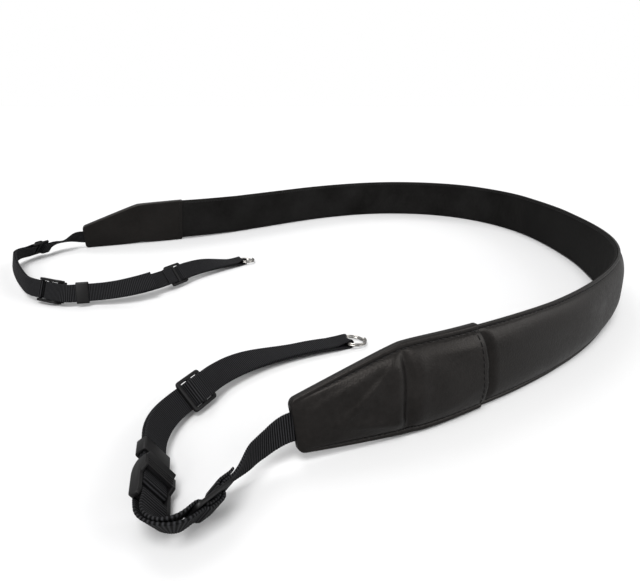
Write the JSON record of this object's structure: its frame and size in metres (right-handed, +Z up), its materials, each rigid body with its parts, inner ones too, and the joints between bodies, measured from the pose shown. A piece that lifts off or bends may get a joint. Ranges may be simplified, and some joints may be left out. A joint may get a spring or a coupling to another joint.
{
  "type": "camera strap",
  "caption": "Padded black leather camera strap on its edge in an open loop, with webbing tails, plastic sliders, ladder locks, keepers and split rings.",
  "frame": {"origin": "middle of the strap's footprint, at the height of the surface that it rests on", "axes": "+Z up from the surface, +Y away from the viewer of the picture, +X to the viewer's right"},
  "size_m": [0.5014, 0.552, 0.0449],
  "materials": {
    "leather": "satin",
    "lining": "matte",
    "webbing": "ribbed",
    "plastic": "satin",
    "steel": "polished"
  },
  "bodies": {
    "root": {"pad_outer": "leather", "pad_lining": "lining", "end_cap_front": "leather", "end_cap_back": "leather", "strap_webbing_front": "webbing", "ring_webbing_front": "webbing", "strap_slider_front": "plastic", "ladder_lock_front": "plastic", "keeper_front": "plastic", "ring_slider_front": "plastic", "split_ring_front": "steel", "strap_webbing_back": "webbing", "ring_webbing_back": "webbing", "strap_slider_back": "plastic", "ladder_lock_back": "plastic", "keeper_back": "plastic", "ring_slider_back": "plastic", "split_ring_back": "steel"}
  },
  "joints": []
}
